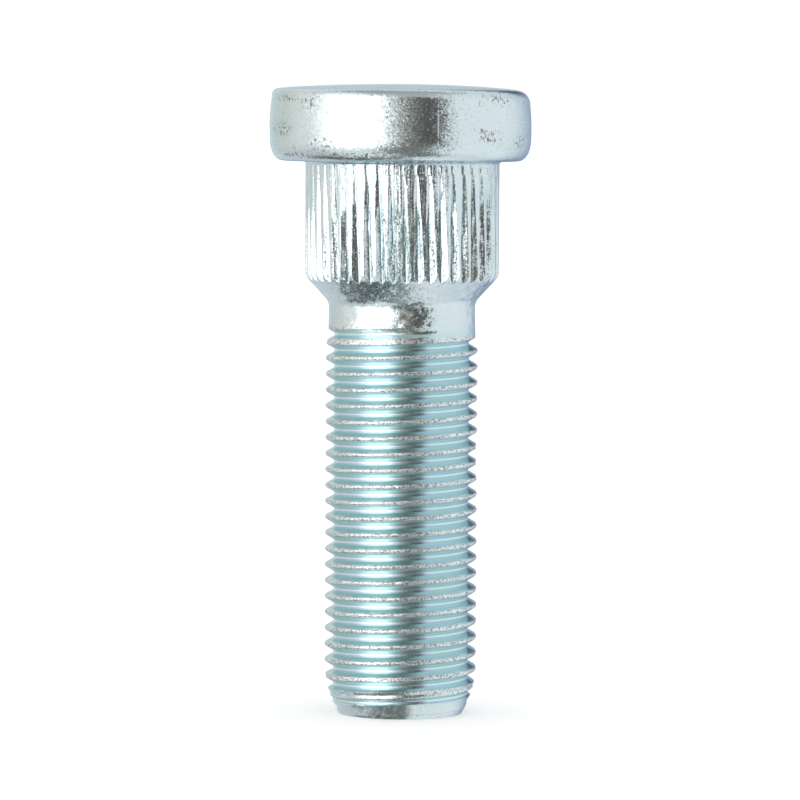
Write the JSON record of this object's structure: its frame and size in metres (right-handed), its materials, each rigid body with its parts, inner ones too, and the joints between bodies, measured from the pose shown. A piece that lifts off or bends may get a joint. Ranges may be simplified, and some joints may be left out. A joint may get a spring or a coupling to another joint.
{
  "type": "wheel stud",
  "caption": "Press-in wheel stud: a round crowned head, a straight-knurled shank, a cone down to a smooth neck, and a right-hand metric thread with a rounded point.",
  "frame": {"origin": "centre of the flat end of the thread, which the stud stands on", "axes": "+Z along the stud's axis, from the threaded end up to the head; +X to the right and -Y towards the viewer of the picture"},
  "size_m": [0.0206, 0.0204, 0.0494],
  "materials": {
    "zinc_plated_steel": "zinc plated with a blue passivation, satin"
  },
  "bodies": {
    "root": {"stud": "zinc_plated_steel"}
  },
  "joints": []
}
